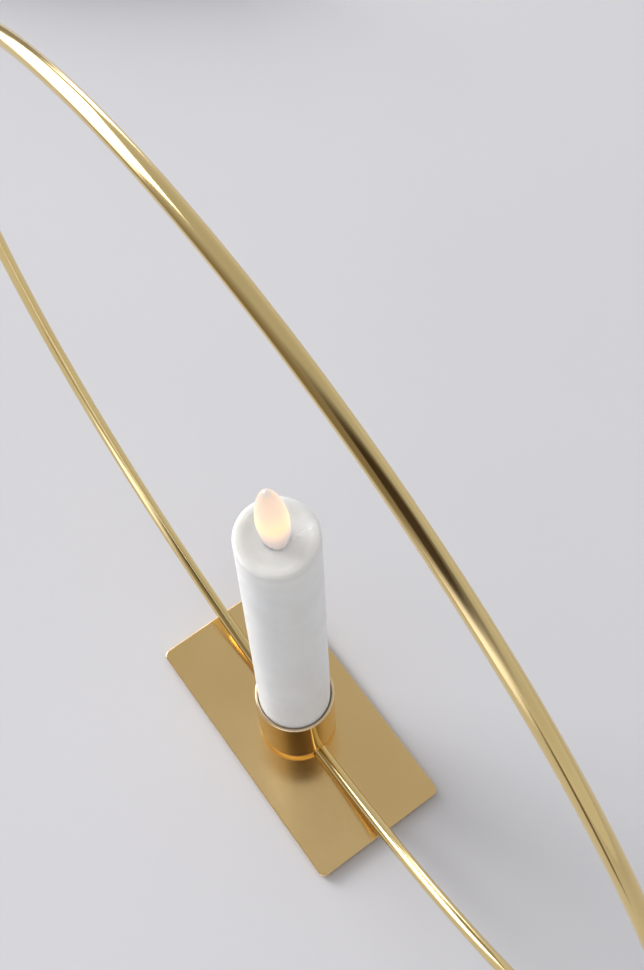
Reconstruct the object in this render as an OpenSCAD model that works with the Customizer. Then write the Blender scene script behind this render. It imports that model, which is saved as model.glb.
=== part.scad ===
// Candle ring: a polished hoop of round rod standing on a rectangular base plate, with a cup at
// the hoop's foot that holds a battery candle with a glowing plastic flame.
// Millimetres, +Z up, origin at the middle of the underside. X runs along the plate and lies in
// the hoop's plane. The candle is shown standing in the cup, with its switch on.

/* [Hoop] */
// Outside diameter of the hoop
hoop_outer_d = 300; // [250:5:360]
// Diameter of the round rod
hoop_rod_d = 4; // [3:0.5:5]
// Degrees the hoop leans from upright, towards -Y
hoop_lean = 2; // [0:0.5:3]

/* [Base plate] */
// Length of the plate, along the hoop
plate_l = 90; // [70:1:120]
// Width of the plate, across the hoop
plate_w = 46; // [36:1:60]
// Thickness of the plate
plate_t = 2; // [2:0.5:3]
// Radius of the plate's corners
plate_corner_r = 2; // [1:0.5:6]
// Thickness of the felt under the plate
pad_t = 0.8; // [0.5:0.1:1.5]
// How far the felt stays in from the plate's edge
pad_inset = 2.5; // [1.5:0.5:4]

/* [Candle cup] */
// Height of the cup above the plate
cup_h = 29; // [22:1:40]
// Thickness of the cup's wall
cup_wall = 0.8; // [0.6:0.1:1.2]
// How far the cup's lower edge is drawn in
cup_foot_in = 0.5; // [0.1:0.1:0.5]
// Height over which the cup's lower edge is drawn in
cup_foot_h = 2; // [0.5:0.5:4]
// Gap between the candle and the cup, all round
candle_play = 0.35; // [0.3:0.05:0.6]

/* [Candle] */
// Diameter of the wax candle
candle_d = 22.5; // [21:0.5:28]
// Length of the wax candle without its flame
candle_l = 144; // [140:1:180]
// Radius of the candle's worn upper shoulder
shoulder_r = 1; // [0.6:0.2:2.4]
// Depth of the melted hollow round the flame
dish_depth = 1.2; // [0.8:0.2:3]

/* [Flame] */
// Height of the flame above the hollow
flame_h = 28; // [22:1:38]
// Largest diameter of the flame
flame_d = 8.6; // [8:0.2:12]
// Thickness of the flame's shell
flame_wall = 0.9; // [0.7:0.1:1.2]
// Degrees the flame leans from upright
flame_lean = 3; // [0:0.5:4]
// Side it leans to, in degrees from -Y towards +X
flame_lean_side = -22; // [-180:2:180]

/* [Battery cap] */
// Degrees the cap turns to come undone
cap_turn = 60; // [45:5:80]
// Distance the switch slides from on to off
switch_travel = 2; // [1.6:0.2:2.4]

/* [Hidden] */
$fn = 96;
// Small overlap that lets a cut pass a face, and clearances between pieces
past = 1;
skin = 0.02;
seat_gap = 0.05;
glue_gap = 0.2;
slide_gap = 0.3;
stop_gap = 0.4;

// Fixed sizes of a standard AAA cell
cell_d = 10.5;
cell_l = 44.5;
cell_nub_d = 3.8;
cell_nub_h = 1;

// Levels of the stand
plate_z = pad_t;
plate_top = plate_z + plate_t;
rod_r = hoop_rod_d / 2;
hoop_r = hoop_outer_d / 2 - rod_r;
foot_z = plate_top + seat_gap + rod_r;

// Cup, and the hub pressed into its foot
bore_r = candle_d / 2 + candle_play;
cup_r = bore_r + cup_wall;
hub_r = bore_r - skin;
rod_rise = hoop_r - sqrt(hoop_r * hoop_r - cup_r * cup_r);
groove_w = hoop_rod_d + 2 * seat_gap;
groove_h = seat_gap + hoop_rod_d + rod_rise + seat_gap;
hub_roof = 2;
hub_h = groove_h + hub_roof;
notch_w = hoop_rod_d + 2 * glue_gap;
notch_h = groove_h + glue_gap;

// Countersunk screws on either side of the rod
screw_d = 3;
screw_play = 0.1;
screw_head_d = 5.6;
screw_head_h = 1.5;
screw_hole_d = screw_d + 0.4;
screw_sink_d = screw_head_d + 0.4;
screw_y = hoop_rod_d / 2 + screw_d / 2 + 3.1;
screw_roof = 1.3;
screw_l = plate_t + hub_h - screw_roof - screw_play;
tap_h = hub_h - screw_roof + 0.5;
cross_l = 3;
cross_w = 0.6;
cross_h = 0.9;

// Candle's lower end, counted from the wax's underside
candle_z = plate_top + hub_h + slide_gap;
tube_wall = 1.45;
tube_ri = cell_d / 2 + 0.5;
tube_ro = tube_ri + tube_wall;
wax_bore_r = tube_ro + glue_gap;
flange_r = tube_ro + 2.2;
flange_t = 1.6;
cap_z = 0.6;
cap_disc_t = 2.4;
cap_disc_r = flange_r - 0.5;
flange_z = cap_z + cap_disc_t + stop_gap;
well_r = flange_r + glue_gap;
well_h = flange_z + flange_t;

// Bayonet: two lugs on the cap's plug, and slots with an entry in the tube
plug_r = tube_ri - slide_gap;
plug_top = 14;
plug_roof = 2;
lug_z = 8;
lug_h = 2;
lug_r = tube_ri + 0.85;
lug_half = 12;
slot_half = 17;
entry_r = lug_r + slide_gap;
strip_w = 2;
strip_t = 0.35;
strip_turn = (180 - cap_turn) / 2;
coin_slot_w = 1.6;
coin_slot_l = 4.4;
coin_slot_h = 1.2;
coin_slot_y = 5.6;

// Contacts and cells, one above the other
spring_h = 2.4;
spring_r = 4.2;
leaf_t = 0.4;
dome_r = 3;
dome_ball_r = 4;
cell_z = plug_top + spring_h + slide_gap;
stack_top = cell_z + 2 * cell_l + seat_gap;
contact_z = stack_top + seat_gap;
contact_r = 4;
tab_w = 2;
carrier_z = contact_z + leaf_t + skin;
carrier_floor = 3;
carrier_r = tube_ri - 0.1;
carrier_wall = 0.8;

// Flame, lamp and board, counted down from the hollow in the candle's top
dish_z = candle_l - dish_depth;
dish_r = candle_d / 2 - shoulder_r - 1.2;
dish_ball_r = (dish_r * dish_r + dish_depth * dish_depth) / (2 * dish_depth);
neck_ri = 2.6;
neck_ro = neck_ri + 0.6;
neck_top = dish_z - 0.4;
flame_plug_r = neck_ri - seat_gap;
flame_plug_h = 3.6;
flame_plug_bore = flame_plug_r - 0.8;
flame_tip_t = 1.5;
holder_t = 1.6;
holder_z = dish_z - 12;
holder_top = holder_z + holder_t;
wax_ceiling = holder_top + glue_gap;
lamp_r = 1.5;
lamp_l = 3.3;
lamp_rim_r = 1.9;
lamp_rim_h = 1;
lead_x = 1.27;
lead_d = 0.5;
board_t = 1;
board_z = holder_z - 9;
board_r = tube_ri - 0.25;
parts_z = board_z + board_t + skin;
chip_size = [3.8, 2.6, 1.2];
chip_y = -3.1;
capacitor_r = 1.9;
capacitor_h = 5.5;
capacitor_y = 3.1;
resistor_size = [0.8, 1.6, 0.5];
resistor_x = 3.9;
resistor_y = -0.7;

// Switch inside the cap
switch_l = 7.4;
switch_w = 4;
switch_h = 4;
switch_floor = 0.8;
switch_z = cap_z + cap_disc_t + 0.1;
switch_pit_r = 4.6;
knob = 1.8;
knob_z = cap_z + stop_gap;
carriage_l = 2.8;
carriage_w = 2.4;
carriage_h = 0.8;
carriage_z = switch_z + switch_floor + slide_gap;
window_l = knob + switch_travel + 2 * slide_gap;
window_w = knob + 2 * slide_gap;
run_l = carriage_l + switch_travel + 2 * slide_gap;
run_w = carriage_w + 2 * slide_gap;
run_h = carriage_h + 2 * slide_gap;
thumb_l = 6.8;
thumb_w = 4;
thumb_h = 0.8;
pin_pitch = 2;
pin_d = 0.6;
pin_l = 1.2;

brass = [0.80, 0.64, 0.36];
dark_brass = [0.66, 0.52, 0.28];
steel = [0.72, 0.73, 0.75];
wax = [0.93, 0.93, 0.90];
white_plastic = [0.86, 0.86, 0.84];

// Plane shape of a rectangle with round corners, centred
module round_rect(l, w, r) {
  square([l - 2 * r, w], center = true);
  square([l, w - 2 * r], center = true);
  for (sx = [-1, 1]) {
    for (sy = [-1, 1]) {
      translate([sx * (l / 2 - r), sy * (w / 2 - r)])
        circle(r);
    }
  }
}

// Sector of a ring about Z, from angle a0 through a1
module ring_sector(r0, r1, h, a0, a1) {
  rotate([0, 0, a0])
    rotate_extrude(angle = a1 - a0)
      translate([r0, 0])
        square([r1 - r0, h]);
}

// Block centred in X and Y and standing on Z = 0
module block(l, w, h) {
  translate([-l / 2, -w / 2, 0])
    cube([l, w, h]);
}

// What it is given, once on each side of the rod
module at_screws() {
  for (s = [-1, 1]) {
    translate([0, s * screw_y, 0])
      children();
  }
}

// What it is given, once for each of the lamp's leads
module at_leads() {
  for (s = [-1, 1]) {
    translate([s * lead_x, 0, 0])
      children();
  }
}

// Felt sheet glued under the plate, cut away round the screw heads
module felt_pad() {
  color([0.16, 0.15, 0.14])
    difference() {
      linear_extrude(pad_t)
        round_rect(plate_l - 2 * pad_inset, plate_w - 2 * pad_inset, plate_corner_r);
      at_screws()
        translate([0, 0, -past])
          cylinder(h = pad_t + 2 * past, d = screw_head_d + 2);
    }
}

// Sheet brass plate with two countersunk holes
module base_plate() {
  color(brass)
    translate([0, 0, plate_z])
      difference() {
        linear_extrude(plate_t)
          round_rect(plate_l, plate_w, plate_corner_r);
        at_screws() {
          translate([0, 0, -past])
            cylinder(h = plate_t + 2 * past, d = screw_hole_d);
          cylinder(h = screw_head_h + screw_play, d1 = screw_sink_d, d2 = screw_hole_d);
        }
      }
}

// Two countersunk screws from below, with a cross recess in each head
module fixing_screws() {
  color(steel)
    at_screws()
      translate([0, 0, plate_z + screw_play])
        difference() {
          union() {
            cylinder(h = screw_head_h, d1 = screw_head_d, d2 = screw_d - screw_play);
            cylinder(h = screw_l, d = screw_d - screw_play);
          }
          for (a = [0, 90]) {
            rotate([0, 0, a])
              translate([0, 0, -past])
                block(cross_l, cross_w, cross_h + past);
          }
        }
}

// Closed hoop of round rod, standing on its lowest point
module hoop() {
  color(brass)
    translate([0, 0, foot_z])
      rotate([hoop_lean, 0, 0])
        translate([0, 0, hoop_r])
          rotate([90, 0, 0])
            rotate_extrude($fn = 180)
              translate([hoop_r, 0])
                circle(r = rod_r, $fn = 48);
}

// Turned disc in the foot of the cup: its groove clamps the rod on the plate
module cup_hub() {
  color(dark_brass)
    translate([0, 0, plate_top])
      difference() {
        cylinder(h = hub_h, r = hub_r);
        translate([0, 0, -past])
          block(2 * cup_r, groove_w, groove_h + past);
        at_screws()
          translate([0, 0, -past])
            cylinder(h = tap_h + past, d = screw_d);
      }
}

// Straight tube open at both ends, with a rolled rim, a lower edge drawn in a little and a notch
// on each side for the rod
module candle_cup() {
  rim_r = cup_wall / 2;
  color(brass)
    translate([0, 0, plate_top])
      difference() {
        rotate_extrude()
          union() {
            polygon([[bore_r, 0], [cup_r - cup_foot_in, 0], [cup_r, cup_foot_h],
                     [cup_r, cup_h - rim_r], [bore_r, cup_h - rim_r]]);
            translate([bore_r + rim_r, cup_h - rim_r])
              circle(r = rim_r, $fn = 24);
          }
        translate([0, 0, -past])
          block(2 * cup_r + 2 * past, notch_w, notch_h + past);
      }
}

// Wax candle: a thick tube with a worn shoulder, a melted hollow and a hole for the flame's neck
module wax_shell() {
  r = candle_d / 2;
  color(wax)
    translate([0, 0, candle_z])
      rotate_extrude()
        difference() {
          union() {
            square([r, candle_l - shoulder_r]);
            square([r - shoulder_r, candle_l]);
            translate([r - shoulder_r, candle_l - shoulder_r])
              circle(shoulder_r);
          }
          translate([0, -past])
            square([well_r, well_h + past]);
          translate([0, -past])
            square([wax_bore_r, wax_ceiling + past]);
          translate([0, -past])
            square([neck_ro + glue_gap, candle_l + 2 * past]);
          translate([0, dish_z + dish_ball_r])
            intersection() {
              circle(r = dish_ball_r);
              translate([0, -dish_ball_r - past])
                square(dish_ball_r + past);
            }
        }
}

// Plastic tube that holds the cells, with a flange below and two bayonet slots for the cap
module battery_tube() {
  slot_r0 = tube_ri - past / 2;
  color(white_plastic)
    translate([0, 0, candle_z])
      difference() {
        translate([0, 0, flange_z]) {
          cylinder(h = flange_t, r = flange_r);
          cylinder(h = holder_z - flange_z - seat_gap, r = tube_ro);
        }
        translate([0, 0, flange_z - past])
          cylinder(h = holder_z, r = tube_ri);
        for (a = [0, 180]) {
          rotate([0, 0, a]) {
            translate([0, 0, lug_z - stop_gap])
              ring_sector(slot_r0, tube_ro + past, lug_h + 2 * stop_gap,
                -cap_turn - slot_half, slot_half);
            translate([0, 0, flange_z - past])
              ring_sector(slot_r0, entry_r, lug_z - flange_z + past,
                -cap_turn - slot_half, -cap_turn + slot_half);
          }
        }
        rotate([0, 0, strip_turn])
          translate([tube_ro - strip_t - 2 * skin, -strip_w / 2 - skin, flange_z - past])
            cube([strip_t + past, strip_w + 2 * skin, holder_z]);
      }
}

// Brass strip in a groove of the tube, between its bayonet slots, from the cap's end to the lid
module return_strip() {
  color(dark_brass)
    translate([0, 0, candle_z + flange_z])
      rotate([0, 0, strip_turn])
        translate([tube_ro - strip_t - skin, -strip_w / 2, 0])
          cube([strip_t, strip_w, holder_z - flange_z - seat_gap]);
}

// One cell, standing on its flat end
module cell() {
  cylinder(h = cell_l - cell_nub_h, d = cell_d);
  cylinder(h = cell_l, d = cell_nub_d);
}

// Lower cell
module battery_lower() {
  color([0.30, 0.33, 0.36])
    translate([0, 0, candle_z + cell_z])
      cell();
}

// Upper cell, resting on the lower one's nub
module battery_upper() {
  color([0.30, 0.33, 0.36])
    translate([0, 0, candle_z + cell_z + cell_l + seat_gap])
      cell();
}

// Contact plate over the upper cell, with a tab through the carrier
module top_contact() {
  color(steel)
    translate([0, 0, candle_z + contact_z]) {
      cylinder(h = leaf_t, r = contact_r);
      block(tab_w, leaf_t, board_z - contact_z - seat_gap);
    }
}

// Plastic carrier in the tube: a floor over the contact and a sleeve under the board
module board_carrier() {
  color(white_plastic)
    translate([0, 0, candle_z + carrier_z])
      difference() {
        cylinder(h = board_z - carrier_z - seat_gap, r = carrier_r);
        translate([0, 0, carrier_floor])
          cylinder(h = board_z - carrier_z, r = carrier_r - carrier_wall);
        translate([0, 0, -past])
          block(tab_w + 2 * glue_gap, leaf_t + 2 * glue_gap, carrier_floor + 2 * past);
      }
}

// Round board on the carrier's sleeve
module circuit_board() {
  color([0.12, 0.38, 0.20])
    translate([0, 0, candle_z + board_z])
      difference() {
        cylinder(h = board_t, r = board_r);
        at_leads()
          translate([0, 0, -past])
            cylinder(h = board_t + 2 * past, d = lead_d + 2 * glue_gap, $fn = 24);
      }
}

// Flicker and timer chip on the board
module control_chip() {
  color([0.10, 0.10, 0.11])
    translate([0, chip_y, candle_z + parts_z])
      block(chip_size[0], chip_size[1], chip_size[2]);
}

// Round capacitor on the board
module storage_capacitor() {
  color([0.22, 0.24, 0.30])
    translate([0, capacitor_y, candle_z + parts_z])
      cylinder(h = capacitor_h, r = capacitor_r, $fn = 48);
}

// Two flat resistors on the board
module chip_resistors() {
  color([0.14, 0.14, 0.15])
    for (s = [-1, 1]) {
      translate([s * resistor_x, resistor_y, candle_z + parts_z])
        block(resistor_size[0], resistor_size[1], resistor_size[2]);
    }
}

// Two leads from the board to the lamp
module led_leads() {
  color(steel)
    at_leads()
      translate([0, 0, candle_z + board_z - stop_gap])
        cylinder(h = holder_top - board_z + stop_gap, d = lead_d, $fn = 24);
}

// Small warm lamp at the foot of the flame
module led_lamp() {
  color([1.0, 0.86, 0.55])
    translate([0, 0, candle_z + holder_top + skin]) {
      cylinder(h = lamp_rim_h, r = lamp_rim_r);
      cylinder(h = lamp_l, r = lamp_r);
      translate([0, 0, lamp_l])
        sphere(r = lamp_r);
    }
}

// Plastic lid on the tube, with a neck up through the wax for the lamp and the flame
module flame_holder() {
  color(white_plastic)
    translate([0, 0, candle_z])
      difference() {
        translate([0, 0, holder_z]) {
          cylinder(h = holder_t, r = tube_ro);
          cylinder(h = neck_top - holder_z, r = neck_ro);
        }
        translate([0, 0, holder_top])
          cylinder(h = neck_top, r = neck_ri);
        at_leads()
          translate([0, 0, holder_z - past])
            cylinder(h = holder_t + 2 * past, d = lead_d + 2 * glue_gap, $fn = 24);
      }
}

// Half outline of the flame, from foot to tip: share of its height, share of its radius
function flame_shares() = [[0, 0.63], [0.03, 0.71], [0.06, 0.77], [0.1, 0.84], [0.16, 0.905],
  [0.23, 0.955], [0.31, 0.985], [0.39, 1], [0.47, 0.985], [0.55, 0.945], [0.63, 0.89],
  [0.7, 0.82], [0.76, 0.74], [0.82, 0.64], [0.87, 0.545], [0.91, 0.45], [0.945, 0.35],
  [0.97, 0.26], [0.99, 0.15], [1, 0]];

// Drop with the flame's lean, from its half outline
module leaning_drop(outline) {
  rotate([flame_lean, 0, flame_lean_side])
    rotate_extrude()
      polygon(concat([[0, 0]], outline));
}

// Hollow flame: a leaning drop on a short round foot that plugs into the neck
module flame_shell() {
  r = flame_d / 2;
  hollow_h = flame_h - flame_tip_t;
  color([1.0, 0.86, 0.70])
    translate([0, 0, candle_z + dish_z])
      difference() {
        union() {
          leaning_drop([for (p = flame_shares()) [p[1] * r, p[0] * flame_h]]);
          translate([0, 0, -flame_plug_h])
            cylinder(h = flame_plug_h + past / 2, r = flame_plug_r);
        }
        leaning_drop([for (p = flame_shares())
          [max(p[1] * r - flame_wall, 0), p[0] * hollow_h]]);
        translate([0, 0, -flame_plug_h - past])
          cylinder(h = flame_plug_h + 1.5 * past, r = flame_plug_bore);
      }
}

// Bayonet cap: a disc with two coin slots and a thumb hollow, and a plug with two lugs
module battery_cap() {
  pit_z = cap_z + cap_disc_t;
  color([0.80, 0.80, 0.78])
    translate([0, 0, candle_z])
      difference() {
        union() {
          translate([0, 0, cap_z]) {
            cylinder(h = cap_disc_t, r = cap_disc_r);
            cylinder(h = plug_top - cap_z, r = plug_r);
          }
          for (a = [0, 180]) {
            rotate([0, 0, a])
              translate([0, 0, lug_z])
                ring_sector(plug_r - past / 2, lug_r, lug_h, -lug_half, lug_half);
          }
        }
        translate([0, 0, pit_z])
          cylinder(h = plug_top - pit_z - plug_roof, r = switch_pit_r);
        block(window_l, window_w, pit_z + past);
        block(thumb_l, thumb_w, cap_z + thumb_h);
        for (s = [-1, 1]) {
          translate([0, s * coin_slot_y, 0])
            block(coin_slot_w, coin_slot_l, cap_z + coin_slot_h);
        }
      }
}

// Sprung contact on the cap: a leaf with a raised dome
module contact_spring() {
  color(steel)
    translate([0, 0, candle_z + plug_top + skin]) {
      cylinder(h = leaf_t, r = spring_r);
      intersection() {
        translate([0, 0, spring_h - skin - dome_ball_r])
          sphere(r = dome_ball_r);
        cylinder(h = spring_h, r = dome_r);
      }
    }
}

// Body of the slide switch, open below for its knob
module switch_body() {
  color([0.20, 0.20, 0.21])
    translate([0, 0, candle_z + switch_z])
      difference() {
        block(switch_l, switch_w, switch_h);
        translate([0, 0, switch_floor])
          block(run_l, run_w, run_h);
        translate([0, 0, -past])
          block(window_l, window_w, switch_floor + 2 * past);
      }
}

// Three solder pins on the switch
module switch_pins() {
  color(steel)
    for (s = [-1, 0, 1]) {
      translate([s * pin_pitch, 0, candle_z + switch_z + switch_h + skin])
        cylinder(h = pin_l, d = pin_d, $fn = 24);
    }
}

// Knob and carriage of the switch, standing at on
module switch_slider() {
  color([0.94, 0.94, 0.92])
    translate([-switch_travel / 2, 0, candle_z]) {
      translate([0, 0, knob_z])
        block(knob, knob, carriage_z - knob_z + carriage_h / 2);
      translate([0, 0, carriage_z])
        block(carriage_l, carriage_w, carriage_h);
    }
}

felt_pad();
base_plate();
fixing_screws();
hoop();
cup_hub();
candle_cup();
wax_shell();
battery_tube();
return_strip();
battery_lower();
battery_upper();
top_contact();
board_carrier();
circuit_board();
control_chip();
storage_capacitor();
chip_resistors();
led_leads();
led_lamp();
flame_holder();
flame_shell();
battery_cap();
contact_spring();
switch_body();
switch_pins();
switch_slider();
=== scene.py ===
import math
import bmesh
import bpy
from mathutils import Matrix, Vector, noise


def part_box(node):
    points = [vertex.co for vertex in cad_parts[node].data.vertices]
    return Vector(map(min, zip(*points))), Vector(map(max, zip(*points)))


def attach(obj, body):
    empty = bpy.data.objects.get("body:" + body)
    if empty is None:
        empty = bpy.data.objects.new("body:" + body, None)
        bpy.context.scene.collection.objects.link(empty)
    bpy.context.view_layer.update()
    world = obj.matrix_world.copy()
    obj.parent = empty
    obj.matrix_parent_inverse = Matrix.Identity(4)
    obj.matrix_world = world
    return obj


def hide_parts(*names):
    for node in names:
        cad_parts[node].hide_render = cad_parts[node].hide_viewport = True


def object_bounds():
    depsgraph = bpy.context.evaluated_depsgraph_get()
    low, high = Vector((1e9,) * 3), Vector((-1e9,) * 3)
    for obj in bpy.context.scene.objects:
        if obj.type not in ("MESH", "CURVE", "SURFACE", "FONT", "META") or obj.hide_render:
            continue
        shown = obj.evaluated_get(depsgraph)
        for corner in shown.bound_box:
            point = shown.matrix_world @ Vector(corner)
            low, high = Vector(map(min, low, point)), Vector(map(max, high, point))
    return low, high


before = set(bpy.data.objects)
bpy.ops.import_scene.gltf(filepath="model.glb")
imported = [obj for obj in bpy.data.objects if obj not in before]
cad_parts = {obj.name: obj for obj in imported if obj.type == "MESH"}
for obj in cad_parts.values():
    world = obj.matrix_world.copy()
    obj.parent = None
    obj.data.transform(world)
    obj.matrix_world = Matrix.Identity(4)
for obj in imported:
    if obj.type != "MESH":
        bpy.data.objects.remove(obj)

cad_low, cad_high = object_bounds()
bpy.context.scene.view_settings.view_transform = "Standard"

# The view: a long lens half a metre over the table and to one side of the ring, looking steeply
# down. The camera is turned a little about its own axis, as a hand-held one is.
camera_place = (0.1391, -0.0786, 0.5215)
view_azimuth = math.radians(-59.65)
view_pitch = math.radians(-59.29)
view_roll = math.radians(-5.77)
camera_data = bpy.data.cameras.new("camera")
camera_data.lens = 59.89
camera_data.shift_x = 0.0578
camera_data.shift_y = -0.1582
camera = bpy.data.objects.new("camera", camera_data)
bpy.context.scene.collection.objects.link(camera)
camera.matrix_world = (
    Matrix.Translation(camera_place)
    @ Matrix.Rotation(-view_azimuth, 4, "Z")
    @ Matrix.Rotation(math.pi / 2 + view_pitch, 4, "X")
    @ Matrix.Rotation(view_roll, 4, "Z"))
bpy.context.scene.camera = camera


# The table: a wide board painted a matt pale grey, with a faint mottle in the paint. The plate's
# felt rests on it, and a card hung low over its far end, out of view, shades it softly.
def make(tree, kind, inputs=None, **settings):
    """Adds a shader node, sets it, and puts a value or another node's output on each input."""
    node = tree.nodes.new(kind)
    for name, value in settings.items():
        setattr(node, name, value)
    for name, value in (inputs or {}).items():
        if isinstance(value, bpy.types.NodeSocket):
            tree.links.new(value, node.inputs[name])
        else:
            node.inputs[name].default_value = value
    return node


def finish_named(name, **plain):
    """A material with its shader, whose plain settings are given by the sockets' names."""
    material = bpy.data.materials.new(name)
    material.use_nodes = True
    shader = material.node_tree.nodes["Principled BSDF"]
    for socket, value in plain.items():
        shader.inputs[socket.replace("_", " ")].default_value = value
    return material, material.node_tree, shader


def blotches(tree, where, scale, dark, pale, detail=3.0):
    """A colour that wanders between two shades over the surface."""
    cloud = make(tree, "ShaderNodeTexNoise", {"Vector": where, "Scale": scale, "Detail": detail})
    ramp = make(tree, "ShaderNodeValToRGB", {"Fac": cloud.outputs["Fac"]})
    ramp.color_ramp.elements[0].position = 0.3
    ramp.color_ramp.elements[0].color = (*dark, 1)
    ramp.color_ramp.elements[1].position = 0.7
    ramp.color_ramp.elements[1].color = (*pale, 1)
    return ramp.outputs["Color"]


def spread(tree, value, low, high):
    """Stretches a value from 0.3 to 0.7 over a new range."""
    step = make(tree, "ShaderNodeMapRange",
                {"Value": value, "From Min": 0.3, "From Max": 0.7, "To Min": low, "To Max": high})
    return step.outputs["Result"]


table_side = 6.0
paint_dark = (0.642, 0.637, 0.664)
paint_pale = (0.676, 0.67, 0.70)
shade_place = (-0.354, 0.112, 0.026)
shade_turn = math.radians(51.7)
shade_l = 0.15
shade_h = 0.036
table_paint, tree, shader = finish_named("table_paint", Roughness=0.7, Specular_IOR_Level=0)
place = make(tree, "ShaderNodeTexCoord").outputs["Object"]
tone = blotches(tree, place, scale=2.5, dark=paint_dark, pale=paint_pale)
tree.links.new(tone, shader.inputs["Base Color"])
bpy.ops.mesh.primitive_grid_add(x_subdivisions=8, y_subdivisions=8, size=table_side)
table = bpy.context.object
table.name = "table"
table.data.materials.append(table_paint)
bpy.ops.mesh.primitive_plane_add(size=1, location=shade_place,
                                 rotation=(math.pi / 2, 0, shade_turn))
shade_card = bpy.context.object
shade_card.name = "shade_card"
shade_card.scale = (shade_l, shade_h, 1)
shade_card.visible_camera = False
shade_card.visible_glossy = False
shade_card.data.materials.append(table_paint)


# The room: pale walls and soft daylight that comes low from the left. What the polished brass
# mirrors is set apart from that light, by bright panels and by soft dark and pale cards, each
# facing the middle of the ring.
def toward(azimuth, elevation):
    """Unit vector at an azimuth from +Y towards +X and an elevation, in degrees."""
    a, e = math.radians(azimuth), math.radians(elevation)
    return Vector((math.sin(a) * math.cos(e), math.cos(a) * math.cos(e), math.sin(e)))


def facing_ring(azimuth, elevation, distance, tilt):
    """The place of a flat thing that faces the ring, tilted in its own plane."""
    outward = toward(azimuth, elevation)
    return (Matrix.Translation(ring_middle + outward * distance)
            @ outward.to_track_quat("Z", "Y").to_matrix().to_4x4()
            @ Matrix.Rotation(math.radians(tilt), 4, "Z"))


def panel(name, place, width, height, glow, mirrored):
    """A flat light of a given brightness, which is mirrored in metal or else lights the rest."""
    data = bpy.data.lights.new(name, "AREA")
    data.color = mirrored_tint if mirrored else daylight
    data.shape = "RECTANGLE"
    data.size = width
    data.size_y = height
    data.energy = glow * math.pi * width * height
    lamp = bpy.data.objects.new(name, data)
    bpy.context.scene.collection.objects.link(lamp)
    lamp.matrix_world = place
    lamp.visible_camera = False
    lamp.visible_glossy = mirrored
    lamp.visible_diffuse = not mirrored


def mirrored_only(name, place, half_width, half_height, softness, tone):
    """An oval with a soft edge that shows in polished metal and nowhere else."""
    reach = 1 + softness
    bpy.ops.mesh.primitive_plane_add(size=2)
    oval = bpy.context.object
    oval.name = name
    oval.matrix_world = place @ Matrix.Diagonal((half_width * reach, half_height * reach, 1, 1))
    material = bpy.data.materials.new(name)
    material.use_nodes = True
    tree = material.node_tree
    tree.nodes.remove(tree.nodes["Principled BSDF"])
    offset = make(tree, "ShaderNodeVectorMath",
                  {0: make(tree, "ShaderNodeTexCoord").outputs["Object"]}, operation="LENGTH")
    cover = make(tree, "ShaderNodeMapRange", {
        "Value": offset.outputs["Value"], "From Min": (1 - softness) / reach, "From Max": 1,
        "To Min": 1, "To Max": 0}, interpolation_type="SMOOTHSTEP").outputs["Result"]
    light = make(tree, "ShaderNodeEmission", {"Color": (*tone, 1)})
    clear = make(tree, "ShaderNodeBsdfTransparent")
    mixed = make(tree, "ShaderNodeMixShader",
                 {0: cover, 1: clear.outputs["BSDF"], 2: light.outputs["Emission"]})
    tree.links.new(mixed.outputs["Shader"], tree.nodes["Material Output"].inputs["Surface"])
    oval.data.materials.append(material)
    for kind in ("camera", "diffuse", "transmission", "volume_scatter", "shadow"):
        setattr(oval, "visible_" + kind, False)


ring_middle = (cad_low + cad_high) / 2
daylight = (1, 1, 1)
mirrored_tint = (0.97, 1, 1.2)
panel("side_light", facing_ring(-112, 18.7, distance=6.0, tilt=22),
      width=6.2, height=7.2, glow=2.9, mirrored=False)
panel("sun_light", facing_ring(-113, 22, distance=5.9, tilt=0),
      width=1.94, height=2.3, glow=11.5, mirrored=False)
panel("side_panel", facing_ring(-108.7, 17.7, distance=1.3, tilt=24),
      width=1.36, height=1.56, glow=3.6, mirrored=True)
panel("sun_panel", facing_ring(-105, 22, distance=1.28, tilt=0),
      width=0.42, height=0.5, glow=13, mirrored=True)
panel("back_panel", facing_ring(-56, 4.5, distance=1.3, tilt=48),
      width=0.58, height=0.56, glow=3.0, mirrored=True)
mirrored_only("back_card", facing_ring(-74, 0, distance=1.1, tilt=0),
              half_width=0.40, half_height=0.26, softness=0.25, tone=(0.30, 0.29, 0.27))
mirrored_only("pale_card", facing_ring(144.8, 22.7, distance=0.752, tilt=-38.3),
              half_width=0.122, half_height=1.0, softness=0.95, tone=(3.0, 3.1, 3.8))
mirrored_only("front_card", facing_ring(183.3, 25.4, distance=0.3, tilt=-47.6),
              half_width=0.168, half_height=0.43, softness=0.83, tone=(0.24, 0.20, 0.15))
mirrored_only("post_card", facing_ring(127.5, 0, distance=0.54, tilt=0),
              half_width=0.05, half_height=0.20, softness=0.5, tone=(0.16, 0.11, 0.07))
mirrored_only("top_card", facing_ring(123.5, 57.5, distance=0.34, tilt=26),
              half_width=0.212, half_height=0.11, softness=0.55, tone=(0.045, 0.028, 0.015))

low_wall = (0.66, 0.66, 0.67)
ceiling = (0.51, 0.51, 0.51)
ceiling_start = 0.8
world = bpy.data.worlds.new("room")
bpy.context.scene.world = world
world.use_nodes = True
tree = world.node_tree
heading = make(tree, "ShaderNodeTexCoord").outputs["Generated"]
height = make(tree, "ShaderNodeSeparateXYZ", {"Vector": heading}).outputs["Z"]
walls = make(tree, "ShaderNodeValToRGB", {"Fac": height})
walls.color_ramp.elements[0].color = (*low_wall, 1)
walls.color_ramp.elements[1].position = ceiling_start
walls.color_ramp.elements[1].color = (*ceiling, 1)
tree.links.new(walls.outputs["Color"], tree.nodes["Background"].inputs["Color"])


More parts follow.
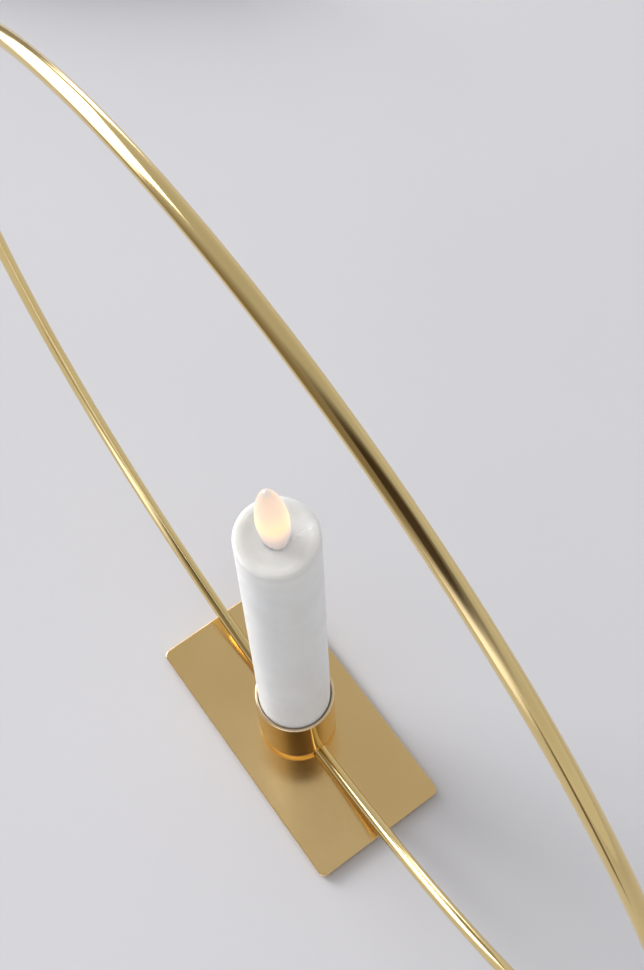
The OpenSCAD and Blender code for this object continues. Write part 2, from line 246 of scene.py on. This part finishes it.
# The felt: a sheet of dark wool felt glued under the plate, so that the brass doesn't scratch the
# table. It is cut out round the two screw heads.
def round_rect(half_l, half_w, corner, steps=10):
    """Points round a rectangle with round corners, anticlockwise."""
    points = []
    for quarter, (sx, sy) in enumerate(((1, 1), (-1, 1), (-1, -1), (1, -1))):
        for step in range(steps + 1):
            a = math.pi / 2 * (quarter + step / steps)
            points.append((sx * (half_l - corner) + corner * math.cos(a),
                           sy * (half_w - corner) + corner * math.sin(a)))
    return points


def circle(radius, middle, steps=64):
    """Points round a circle, anticlockwise."""
    return [(middle[0] + radius * math.cos(2 * math.pi * k / steps),
             middle[1] + radius * math.sin(2 * math.pi * k / steps)) for k in range(steps)]


def wrap(mesh, rings):
    """Faces between closed rings of as many points; returns the first and the last ring."""
    rows = [[mesh.verts.new((x, y, z)) for x, y in ring] for ring, z in rings]
    for a, b in zip(rows, rows[1:]):
        for k in range(len(a)):
            n = (k + 1) % len(a)
            mesh.faces.new((a[k], a[n], b[n], b[k]))
    return rows[0], rows[-1]


def loop_edges(mesh, ring):
    """The edges that join a ring's points."""
    return [mesh.edges.get((ring[k], ring[(k + 1) % len(ring)])) for k in range(len(ring))]


def slab(name, low, high, corner, edge, holes, edge_steps=4):
    """A flat piece with rounded edges; each hole is its middle and its radii at given heights."""
    length, width = high.x - low.x, high.y - low.y
    mesh = bmesh.new()
    rings = []
    for step in range(edge_steps + 1):
        a = math.pi / 2 * step / edge_steps
        inset = edge * (1 - math.sin(a))
        rings.append((round_rect(length / 2 - inset, width / 2 - inset, corner - inset),
                      low.z + edge * (1 - math.cos(a))))
    rings += [(ring, low.z + high.z - z) for ring, z in reversed(rings)]
    bottom, top = wrap(mesh, rings)
    under, over = loop_edges(mesh, bottom), loop_edges(mesh, top)
    for middle, steps in holes:
        first, last = wrap(mesh, [(circle(radius, middle), z) for radius, z in steps])
        under += loop_edges(mesh, first)
        over += loop_edges(mesh, last)
    for edges in (under, over):
        bmesh.ops.triangle_fill(mesh, use_beauty=True, edges=edges)
    bmesh.ops.recalc_face_normals(mesh, faces=mesh.faces)
    return piece_from(name, mesh)


def piece_from(name, mesh):
    """An object with smooth shading, sharp only at its real edges."""
    data = bpy.data.meshes.new(name)
    mesh.to_mesh(data)
    mesh.free()
    for polygon in data.polygons:
        polygon.use_smooth = True
    data.set_sharp_from_angle(angle=sharp_angle)
    piece = bpy.data.objects.new(name, data)
    bpy.context.scene.collection.objects.link(piece)
    normals = piece.modifiers.new("normals", "WEIGHTED_NORMAL")
    normals.keep_sharp = True
    return piece


sharp_angle = math.radians(40)
screw_y = 0.0066
felt_corner = 0.002
felt_edge = 0.00025
felt_hole_r = 0.0038
wool_dark = (0.035, 0.033, 0.031)
wool_pale = (0.075, 0.07, 0.066)
felt_low, felt_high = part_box("felt_pad")
felt_holes = [((0, side * screw_y), [(felt_hole_r, felt_low.z), (felt_hole_r, felt_high.z)])
              for side in (-1, 1)]
felt = slab("felt_sheet", felt_low, felt_high, felt_corner, felt_edge, felt_holes)
felt_wool, tree, shader = finish_named("felt_wool", Roughness=0.95, Sheen_Weight=0.5,
                                       Sheen_Roughness=0.5)
place = make(tree, "ShaderNodeTexCoord").outputs["Object"]
tone = blotches(tree, place, scale=900, dark=wool_dark, pale=wool_pale, detail=6)
tree.links.new(tone, shader.inputs["Base Color"])
fibres = make(tree, "ShaderNodeTexNoise",
              {"Vector": place, "Scale": 2600, "Detail": 6, "Distortion": 1.5})
relief = make(tree, "ShaderNodeBump",
              {"Height": fibres.outputs["Fac"], "Strength": 0.7, "Distance": 0.0002})
tree.links.new(relief.outputs["Normal"], shader.inputs["Normal"])
felt.data.materials.append(felt_wool)
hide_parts("felt_pad")
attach(felt, "stand")


# The foot plate: sheet brass with round corners and slightly broken edges, brushed lengthwise to
# a satin and lacquered. Two holes, countersunk from below, take the screws.
def brass(name, tone, worn, roughness, smudge, grain, grain_scale, mark, unrolled=False, patch=35):
    """Lacquered brass: tone to worn in patches, smudges in the gloss, and a grain of fine lines."""
    material, tree, shader = finish_named(name, Metallic=1.0)
    texture = make(tree, "ShaderNodeTexCoord")
    place = texture.outputs["Object"]
    tree.links.new(blotches(tree, place, scale=patch, dark=worn, pale=tone, detail=4),
                   shader.inputs["Base Color"])
    grain_place = make(tree, "ShaderNodeMapping", {
        "Vector": texture.outputs["UV"] if unrolled else place, "Scale": grain_scale})
    lines = make(tree, "ShaderNodeTexNoise",
                 {"Vector": grain_place.outputs["Vector"], "Scale": 1, "Detail": 5})
    smear = make(tree, "ShaderNodeTexNoise",
                 {"Vector": place, "Scale": 60, "Detail": 5, "Distortion": 0.6})
    blend = make(tree, "ShaderNodeMath", operation="ADD")
    tree.links.new(spread(tree, smear.outputs["Fac"], 0, smudge), blend.inputs[0])
    tree.links.new(spread(tree, lines.outputs["Fac"], roughness, roughness + grain),
                   blend.inputs[1])
    tree.links.new(blend.outputs["Value"], shader.inputs["Roughness"])
    relief = make(tree, "ShaderNodeBump",
                  {"Height": lines.outputs["Fac"], "Strength": mark, "Distance": 0.00005})
    tree.links.new(relief.outputs["Normal"], shader.inputs["Normal"])
    return material


plate_corner = 0.002
plate_edge = 0.0003
sink_r = 0.003
hole_r = 0.0017
sink_depth = 0.0016
plate_low, plate_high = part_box("base_plate")
plate_holes = [((0, side * screw_y), [(sink_r, plate_low.z), (hole_r, plate_low.z + sink_depth),
                                      (hole_r, plate_high.z)]) for side in (-1, 1)]
plate = slab("foot_plate", plate_low, plate_high, plate_corner, plate_edge, plate_holes)
plate.data.materials.append(brass(
    "satin_brass", tone=(0.905, 0.655, 0.315), worn=(0.825, 0.575, 0.245), roughness=0.13,
    smudge=0.04, grain=0.05, grain_scale=(60, 5200, 60), mark=0.12, patch=16))
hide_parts("base_plate")
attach(plate, "stand")


# The screws: two countersunk steel screws, nickel plated, driven up through the plate into the
# hub. Their heads carry the wear of a driver.
def clad(node, material):
    """Gives a CAD node a material."""
    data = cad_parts[node].data
    data.materials.clear()
    data.materials.append(material)


def plated(name, tone, roughness, wear=0.85, scatter=0.15):
    """Nickel plate over steel or brass, with fine scratches."""
    material, tree, shader = finish_named(name, Metallic=1.0)
    place = make(tree, "ShaderNodeTexCoord").outputs["Object"]
    worn = tuple(wear * part for part in tone)
    tree.links.new(blotches(tree, place, scale=700, dark=worn, pale=tone),
                   shader.inputs["Base Color"])
    marks = make(tree, "ShaderNodeTexNoise",
                 {"Vector": place, "Scale": 3000, "Detail": 4, "Distortion": 3})
    tree.links.new(spread(tree, marks.outputs["Fac"], roughness, roughness + scatter),
                   shader.inputs["Roughness"])
    relief = make(tree, "ShaderNodeBump",
                  {"Height": marks.outputs["Fac"], "Strength": 0.15, "Distance": 0.00003})
    tree.links.new(relief.outputs["Normal"], shader.inputs["Normal"])
    return material


nickel = plated("nickel_plate", tone=(0.68, 0.67, 0.64), roughness=0.22)
clad("fixing_screws", nickel)


# The hoop: 4 mm brass rod bent into a closed circle and polished. Its ends meet inside the cup,
# and the bending leaves the faintest waves in its sides.
def sheet_of(name, rows, wrap_rows, wrap_columns, step_u, step_v):
    """A mesh over a grid of points, with its unrolled size as the texture's coordinates."""
    mesh = bmesh.new()
    grid = [[mesh.verts.new(point) for point in row] for row in rows]
    layer = mesh.loops.layers.uv.new("unrolled")
    for i in range(len(rows) if wrap_rows else len(rows) - 1):
        for k in range(len(rows[0]) if wrap_columns else len(rows[0]) - 1):
            corners = ((i, k), (i, k + 1), (i + 1, k + 1), (i + 1, k))
            face = mesh.faces.new([grid[r % len(rows)][c % len(rows[0])] for r, c in corners])
            for loop, (r, c) in zip(face.loops, corners):
                loop[layer].uv = (r * step_u, c * step_v)
    bmesh.ops.remove_doubles(mesh, verts=mesh.verts, dist=1e-8)
    bmesh.ops.recalc_face_normals(mesh, faces=mesh.faces)
    return piece_from(name, mesh)


rod_r = 0.002
hoop_lean = math.radians(2)
wave_height = 0.00001
waves_round = 11
waves_across = 0.6
hoop_low, hoop_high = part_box("hoop")
hoop_r = (hoop_high.x - hoop_low.x) / 2 - rod_r
foot = Vector((0, 0, hoop_low.z + rod_r))
up = Vector((0, -math.sin(hoop_lean), math.cos(hoop_lean)))
across = Vector((0, math.cos(hoop_lean), math.sin(hoop_lean)))
hoop_middle = foot + up * hoop_r
round_steps, rod_steps = 720, 40
rows = []
for i in range(round_steps):
    a = 2 * math.pi * i / round_steps
    outward = Vector((math.cos(a), 0, 0)) + up * math.sin(a)
    row = []
    for k in range(rod_steps):
        b = 2 * math.pi * k / rod_steps
        wave = noise.noise(Vector((waves_round * math.cos(a), waves_round * math.sin(a),
                                   waves_across * math.cos(b))))
        r = rod_r - wave_height * (1 + wave)
        row.append(hoop_middle + outward * (hoop_r + r * math.cos(b)) + across * r * math.sin(b))
    rows.append(row)
hoop = sheet_of("bent_hoop", rows, True, True, 2 * math.pi * hoop_r / round_steps,
                2 * math.pi * rod_r / rod_steps)
hoop.data.materials.append(brass(
    "polished_brass", tone=(0.84, 0.655, 0.31), worn=(0.81, 0.615, 0.275), roughness=0.08,
    smudge=0.04, grain=0.03, grain_scale=(90, 9000, 1), mark=0.06, unrolled=True))
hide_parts("hoop")
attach(hoop, "stand")


# The hub: a turned brass disc in the foot of the cup. Its groove clamps the rod on the plate, and
# the screws hold it from below.
clad("cup_hub", brass(
    "turned_brass", tone=(0.78, 0.55, 0.24), worn=(0.70, 0.48, 0.20), roughness=0.2,
    smudge=0.04, grain=0.08, grain_scale=(300, 300, 9000), mark=0.2))


# The cup: a short length of thin brass tube, polished and lacquered, pressed over the hub. Its rim
# is rolled and of a paler brass, its lower edge is drawn in a little and satin, with a brighter
# orange brass there as a painted reflection, and a notch filed in each side fits the rod.
def turned(name, outline, steps=192):
    """A closed outline of radius and height, turned round the upright axis."""
    rows = [[(r * math.cos(2 * math.pi * k / steps), r * math.sin(2 * math.pi * k / steps), z)
             for k in range(steps)] for r, z in outline]
    girth = 2 * math.pi * max(r for r, z in outline)
    return sheet_of(name, rows, True, True, outline_gap, girth / steps)


def arc(middle_r, middle_z, radius, start, end, steps):
    """Points of radius and height along an arc, its angles in degrees."""
    return [(middle_r + radius * math.cos(math.radians(start + (end - start) * k / steps)),
             middle_z + radius * math.sin(math.radians(start + (end - start) * k / steps)))
            for k in range(steps + 1)]


outline_gap = 0.0005
cup_wall = 0.0008
foot_round = 0.00078
foot_tall = 3.4
rim_r = 0.00047
notch_r = rod_r + 0.00008
row_gap = 0.002
row_count = 13
cup_low, cup_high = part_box("candle_cup")
cup_r = (cup_high.x - cup_low.x) / 2
bore_r = cup_r - cup_wall
outline = arc(cup_r - rim_r, cup_high.z - rim_r, rim_r, 0, 180, 12)
outline += [(bore_r, cup_high.z - row_gap * k) for k in range(1, row_count + 1)]
outline += [(bore_r, cup_low.z), (cup_r - foot_round, cup_low.z)]
outline += [(r, cup_low.z + (z - cup_low.z) * foot_tall)
            for r, z in arc(cup_r - foot_round, cup_low.z + foot_round, foot_round, -90, 0, 12)]
outline += [(cup_r, cup_high.z - row_gap * k) for k in range(row_count, 0, -1)]
cup = turned("tube_cup", outline)
notch_z = foot.z + hoop_r - math.sqrt(hoop_r ** 2 - cup_r ** 2)
arch = arc(0, notch_z, notch_r, 0, 180, 16) + [(-notch_r, 0), (notch_r, 0)]
file_mesh = bmesh.new()
ends = [[file_mesh.verts.new((x, y, z)) for y, z in arch] for x in (-2 * cup_r, 2 * cup_r)]
for k in range(len(arch)):
    n = (k + 1) % len(arch)
    file_mesh.faces.new((ends[0][k], ends[0][n], ends[1][n], ends[1][k]))
for end in ends:
    file_mesh.faces.new(end)
bmesh.ops.recalc_face_normals(file_mesh, faces=file_mesh.faces)
saw = piece_from("saw", file_mesh)
notch = cup.modifiers.new("notch", "BOOLEAN")
notch.object = saw
notch.solver = "EXACT"
cup.modifiers.move(1, 0)
bpy.context.view_layer.update()
cut_mesh = bpy.data.meshes.new_from_object(
    cup.evaluated_get(bpy.context.evaluated_depsgraph_get()))
cup.modifiers.clear()
cup.data = cut_mesh
bpy.data.objects.remove(saw)
cup.data.materials.clear()
cup.data.materials.append(brass(
    "cup_brass", tone=(0.93, 0.64, 0.185), worn=(0.90, 0.60, 0.16), roughness=0.08,
    smudge=0.04, grain=0.04, grain_scale=(60, 60, 5000), mark=0.08))
# A paler brass for the rolled rim.
cup.data.materials.append(brass(
    "pale_rim", tone=(0.88, 0.71, 0.48), worn=(0.82, 0.63, 0.40), roughness=0.16,
    smudge=0.06, grain=0.05, grain_scale=(400, 400, 5000), mark=0.1))
# Painted reflection: the satin foot band is a brighter, more orange brass than the tube, for the
# reflection that glows at the cup's foot.
cup.data.materials.append(brass(
    "foot_brass_painted_reflection", tone=(0.98, 0.66, 0.18), worn=(0.93, 0.61, 0.15), roughness=0.42,
    smudge=0.05, grain=0.05, grain_scale=(60, 60, 5000), mark=0.1))
# The rim faces take the paler brass, and the foot band the brighter brass of the painted
# reflection.
for polygon in cup.data.polygons:
    if polygon.center.z > cup_high.z - rim_r:
        polygon.material_index = 1
    elif polygon.center.z < cup_low.z + foot_round * foot_tall:
        polygon.material_index = 2
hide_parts("candle_cup")
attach(cup, "stand")


# The wax: a thick white wax tube cast round the battery tube. Its shoulder is worn round and its
# top is a shallow hollow left by melting, with a rough run of set wax beside the flame. Painted
# shade darkens the wax over its top few millimetres, and a painted glow on the top round the
# flame's foot stands in for the lamp's light seeping through the wax.
wax_low, wax_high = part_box("wax_shell")
wax_r = (wax_high.x - wax_low.x) / 2
wax_l = wax_high.z - wax_low.z
shoulder_r = 0.001
shoulder_flat = 0.0012
dish_depth = 0.0012
dish_r = wax_r - shoulder_r - shoulder_flat
dish_ball = (dish_r ** 2 + dish_depth ** 2) / (2 * dish_depth)
dish_z = wax_high.z - dish_depth
neck_bore_r = 0.0034
lip_r = 0.0028
lip_t = 0.0003
well_r = 0.0096
well_h = 0.005
wax_bore_r = 0.0074
top_wall = 0.0114
ceiling_z = wax_low.z + (wax_l - top_wall)
side_steps = 110
dish_steps = 56
round_parts = 320
outline = [(wax_r, wax_low.z + (wax_l - shoulder_r) * k / side_steps)
           for k in range(side_steps)]
outline += arc(wax_r - shoulder_r, wax_high.z - shoulder_r, shoulder_r, 0, 90, 14)
for k in range(dish_steps + 1):
    r = dish_r + (lip_r - dish_r) * k / dish_steps
    z = dish_z + dish_ball - math.sqrt(dish_ball ** 2 - r ** 2)
    outline.append((r, z))
lip_z = outline[-1][1] - lip_t
outline += [(lip_r, lip_z), (neck_bore_r, lip_z), (neck_bore_r, ceiling_z),
            (wax_bore_r, ceiling_z), (wax_bore_r, wax_low.z + well_h),
            (well_r, wax_low.z + well_h), (well_r, wax_low.z)]
run_start = Vector((0.0029, 0.0040))
run_end = Vector((0.0036, 0.0088))
run_half_w = 0.0006
run_h = 0.00022
run_l = (run_end - run_start).length
run_way = (run_end - run_start) / run_l
hair = 0.0001
lip_clear = 0.0003
ripple_h = 0.00004
grain_h = 0.00001
lump_h = 0.00009
candle = turned("wax_candle", outline, round_parts)
for vertex in candle.data.vertices:
    x, y, z = vertex.co
    r = math.hypot(x, y)
    at_lip = r < lip_r + lip_clear
    inside = r < wax_r - hair and z < dish_z - 2 * hair
    if at_lip or inside:
        continue
    ripple = noise.noise(Vector((x * 120, y * 120, z * 45)))
    grain = noise.noise(Vector((x * 700, y * 700, z * 500)))
    sink = ripple_h * (1 + ripple) + grain_h * (1 + grain)
    vertex.co.x -= x / r * sink
    vertex.co.y -= y / r * sink
    if z > dish_z:
        lump = noise.noise(Vector((x * 330, y * 330, 5)))
        vertex.co.z -= lump_h * (1 + lump)
        along = min(max((Vector((x, y)) - run_start).dot(run_way) / run_l, 0), 1)
        aside = (Vector((x, y)) - run_start - run_way * run_l * along).length / run_half_w
        if aside < 1:
            crumb = noise.noise(Vector((x * 2600, y * 2600, 9)))
            vertex.co.z += run_h * (1 - aside ** 2) * max(0.4 + 1.6 * crumb, 0)
wax_dark = (0.785, 0.79, 0.775)
wax_pale = (0.835, 0.84, 0.825)
top_z = dish_z - 0.0004
# Painted shade: the wax is painted darker over its top few millimetres.
painted_shade_share = 0.87
painted_shade_from = wax_high.z - 0.0005
painted_shade_to = wax_high.z - 0.004
# Painted glow: the wax's top emits a faint light round the flame's foot, fading outward.
painted_glow_tint = (1.0, 0.97, 0.94, 1)
painted_glow_strength = 0.06
painted_glow_from = 0.003
painted_glow_to = 0.0105
wax, tree, shader = finish_named(
    "white_wax", Subsurface_Weight=1.0, Subsurface_Radius=(1.0, 0.92, 0.84),
    Subsurface_Scale=0.0055, Specular_IOR_Level=0.14, Coat_Weight=0.08, Coat_Roughness=0.08,
    Emission_Color=painted_glow_tint)
place = make(tree, "ShaderNodeTexCoord").outputs["Object"]
tone = blotches(tree, place, scale=90, dark=wax_dark, pale=wax_pale)
tall = make(tree, "ShaderNodeMapping", {"Vector": place, "Scale": (260, 260, 18)})
streaks = make(tree, "ShaderNodeTexNoise",
               {"Vector": tall.outputs["Vector"], "Scale": 1, "Detail": 4})
height = make(tree, "ShaderNodeSeparateXYZ", {"Vector": place}).outputs["Z"]
# Painted shade: the colour falls to a share of itself over the top few millimetres.
painted_shade = make(tree, "ShaderNodeMapRange", {
    "Value": height, "From Min": painted_shade_to, "From Max": painted_shade_from,
    "To Min": 1.0, "To Max": painted_shade_share}).outputs["Result"]
clear = make(tree, "ShaderNodeMath", {
    0: painted_shade, 1: spread(tree, streaks.outputs["Fac"], low=0.98, high=1.02)},
    operation="MULTIPLY")
# The tone, with its streaks and the painted shade on the top.
tone_with_painted_shade = make(tree, "ShaderNodeVectorMath", {0: tone}, operation="SCALE")
tree.links.new(clear.outputs["Value"], tone_with_painted_shade.inputs["Scale"])
tree.links.new(tone_with_painted_shade.outputs["Vector"], shader.inputs["Base Color"])
level = make(tree, "ShaderNodeMapping", {"Vector": place, "Scale": (1, 1, 0)})
from_axis = make(tree, "ShaderNodeVectorMath", {0: level.outputs["Vector"]}, operation="LENGTH")
# Painted glow: emission on the top, strongest near the axis and fading out towards the rim.
painted_glow = make(tree, "ShaderNodeMapRange", {
    "Value": from_axis.outputs["Value"], "From Min": painted_glow_from, "From Max": painted_glow_to,
    "To Min": painted_glow_strength, "To Max": 0}).outputs["Result"]
on_top = make(tree, "ShaderNodeMath", {0: height, 1: top_z}, operation="GREATER_THAN")
painted_glow_on_top = make(tree, "ShaderNodeMath", {0: painted_glow, 1: on_top.outputs["Value"]},
                  operation="MULTIPLY")
tree.links.new(painted_glow_on_top.outputs["Value"], shader.inputs["Emission Strength"])
tree.links.new(spread(tree, streaks.outputs["Fac"], low=0.34, high=0.46),
               shader.inputs["Roughness"])
pores = make(tree, "ShaderNodeTexNoise", {"Vector": place, "Scale": 1800, "Detail": 4})
skin_height = make(tree, "ShaderNodeMath", {0: streaks.outputs["Fac"], 1: pores.outputs["Fac"]},
                   operation="ADD")
relief = make(tree, "ShaderNodeBump",
              {"Height": skin_height.outputs["Value"], "Strength": 0.12, "Distance": 0.0001})
tree.links.new(relief.outputs["Normal"], shader.inputs["Normal"])
candle.data.materials.append(wax)
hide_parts("wax_shell")
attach(candle, "candle")


# The flame: a hollow drop of milky plastic on a short round foot that plugs into the neck. The
# lamp under the foot lights it from below; that light is painted on the shell as a glow, most low
# in its middle, and its thin wall lets most light through to the wax.
flame_low, flame_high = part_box("flame_shell")
flame_r = 0.0043
flame_h = 0.028
flame_lean = math.radians(3)
lean_side = math.radians(-22)
foot_h = 0.0036
flame_z = flame_low.z + foot_h
flame_wall = 0.0009
tip_wall = 0.0015
plug_r = 0.00255
plug_bore = 0.00175
shares = [(0, 0.63), (0.03, 0.71), (0.06, 0.77), (0.1, 0.84), (0.16, 0.905), (0.23, 0.955),
          (0.31, 0.985), (0.39, 1), (0.47, 0.985), (0.55, 0.945), (0.63, 0.89), (0.7, 0.82),
          (0.76, 0.74), (0.82, 0.64), (0.87, 0.545), (0.91, 0.45), (0.945, 0.35), (0.97, 0.26),
          (0.99, 0.15), (1, 0)]


def smooth_line(points, parts=4):
    """The points of a curve through the given ones."""
    line = []
    for k in range(len(points) - 1):
        p0, p1 = points[max(k - 1, 0)], points[k]
        p2, p3 = points[k + 1], points[min(k + 2, len(points) - 1)]
        for step in range(parts):
            t = step / parts
            line.append(tuple(
                p1[c] + 0.5 * t * (p2[c] - p0[c] + t * (
                    2 * p0[c] - 5 * p1[c] + 4 * p2[c] - p3[c]
                    + t * (3 * (p1[c] - p2[c]) + p3[c] - p0[c]))) for c in (0, 1)))
    line.append(points[-1])
    return line


outer = [(r * flame_r, flame_z + h * flame_h) for h, r in smooth_line(shares)]
hollow_h = flame_h - tip_wall
inner = [(max(r * flame_r - flame_wall, 0), flame_z + h * hollow_h)
         for h, r in smooth_line(shares)]
outline = [(plug_r, flame_low.z), (plug_r, flame_z - 2 * hair)] + outer
outline += list(reversed(inner)) + [(plug_bore, flame_z), (plug_bore, flame_low.z)]
flame = turned("glowing_flame", outline, 96)
flame_foot = Vector((0, 0, flame_z))
leaning = Matrix.Rotation(lean_side, 3, "Z") @ Matrix.Rotation(flame_lean, 3, "X")
for vertex in flame.data.vertices:
    on_drop = vertex.co.z > flame_z - hair and vertex.co.xy.length > plug_bore - hair
    in_hollow = vertex.co.z > flame_z + hair
    if on_drop or in_hollow:
        vertex.co = flame_foot + leaning @ (vertex.co - flame_foot)
# Painted glow: the shell's emission colour, from its foot to its tip, stands in for the lamp's
# light.
foot_glow = (0.44, 0.36, 0.32)
tip_glow = (0.64, 0.58, 0.53)
wall_passes = 0.84
milk, tree, shader = finish_named(
    "milky_plastic", Base_Color=(0.16, 0.15, 0.14, 1), Roughness=0.3, Subsurface_Weight=0.5,
    Subsurface_Radius=(1.0, 0.7, 0.4), Subsurface_Scale=0.003, Emission_Strength=1.0,
    Coat_Weight=0.3, Coat_Roughness=0.2)
place = make(tree, "ShaderNodeTexCoord").outputs["Object"]
height = make(tree, "ShaderNodeSeparateXYZ", {"Vector": place}).outputs["Z"]
rise = make(tree, "ShaderNodeMapRange",
            {"Value": height, "From Min": flame_z, "From Max": flame_high.z}).outputs["Result"]
glow = make(tree, "ShaderNodeValToRGB", {"Fac": rise})
ramp = glow.color_ramp
ramp.elements[0].position = 0.12
ramp.elements[0].color = (*foot_glow, 1)
ramp.elements[1].position = 1.0
ramp.elements[1].color = (*tip_glow, 1)
for position, colour in ((0.23, (0.60, 0.47, 0.41)), (0.33, (0.82, 0.62, 0.46)),
                         (0.42, (0.90, 0.74, 0.44)), (0.51, (0.89, 0.78, 0.44)),
                         (0.60, (0.89, 0.75, 0.46)), (0.70, (0.885, 0.69, 0.475)),
                         (0.88, (0.88, 0.63, 0.47)), (0.95, (0.80, 0.60, 0.45))):
    ramp.elements.new(position).color = (*colour, 1)
tree.links.new(glow.outputs["Color"], shader.inputs["Emission Color"])
lets_through = make(tree, "ShaderNodeMath", {
    0: make(tree, "ShaderNodeLightPath").outputs["Is Shadow Ray"], 1: wall_passes},
    operation="MULTIPLY")
clear = make(tree, "ShaderNodeBsdfTransparent")
thin = make(tree, "ShaderNodeMixShader", {
    0: lets_through.outputs["Value"], 1: shader.outputs["BSDF"], 2: clear.outputs["BSDF"]})
tree.links.new(thin.outputs["Shader"], tree.nodes["Material Output"].inputs["Surface"])
flame.data.materials.append(milk)
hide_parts("flame_shell")
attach(flame, "candle")


# The candle's tube, lid, board carrier, cap and switch knob: white plastic mouldings with a fine
# spark-eroded texture. The cap twists into the tube, and the knob slides in the cap's window.
def moulded(name, tone, roughness, wear=0.93, scatter=0.12):
    """Moulded plastic with a fine texture and slight flow marks."""
    material, tree, shader = finish_named(name)
    place = make(tree, "ShaderNodeTexCoord").outputs["Object"]
    worn = tuple(wear * part for part in tone)
    tree.links.new(blotches(tree, place, scale=160, dark=worn, pale=tone),
                   shader.inputs["Base Color"])
    texture = make(tree, "ShaderNodeTexNoise", {"Vector": place, "Scale": 4500, "Detail": 3})
    tree.links.new(spread(tree, texture.outputs["Fac"], roughness, roughness + scatter),
                   shader.inputs["Roughness"])
    relief = make(tree, "ShaderNodeBump",
                  {"Height": texture.outputs["Fac"], "Strength": 0.2, "Distance": 0.00004})
    tree.links.new(relief.outputs["Normal"], shader.inputs["Normal"])
    return material


white_plastic = moulded("white_moulding", tone=(0.80, 0.80, 0.78), roughness=0.42)
for node in ("battery_tube", "board_carrier", "flame_holder", "battery_cap", "switch_slider"):
    clad(node, white_plastic)


# The cells: two AAA cells in plain grey plastic jackets, one above the other in the tube. The
# board's storage capacitor has the same kind of jacket.
jacket = moulded("cell_jacket", tone=(0.20, 0.23, 0.26), roughness=0.25)
for node in ("battery_lower", "battery_upper", "storage_capacitor"):
    clad(node, jacket)


# The metal of the circuit: plated contacts, the strip that brings the current back, the leads and
# the switch's pins.
for node in ("return_strip", "top_contact", "contact_spring", "led_leads", "switch_pins"):
    clad(node, nickel)


# The board and its parts: a small green lacquered board with a black chip and resistors soldered
# to it. The body of the slide switch in the cap is the same black plastic.
clad("circuit_board", moulded("board_lacquer", tone=(0.04, 0.22, 0.10), roughness=0.25))
black_plastic = moulded("black_moulding", tone=(0.045, 0.045, 0.05), roughness=0.4)
for node in ("control_chip", "chip_resistors", "switch_body"):
    clad(node, black_plastic)


# The lamp: a small lamp cast in clear resin, held by its two leads under the flame's foot. It
# glows warm.
lamp_resin, tree, shader = finish_named("lamp_resin", Roughness=0.12, Emission_Strength=1.5)
place = make(tree, "ShaderNodeTexCoord").outputs["Object"]
tone = blotches(tree, place, scale=500, dark=(0.95, 0.62, 0.25), pale=(1.0, 0.75, 0.40))
tree.links.new(tone, shader.inputs["Base Color"])
tree.links.new(tone, shader.inputs["Emission Color"])
clad("led_lamp", lamp_resin)
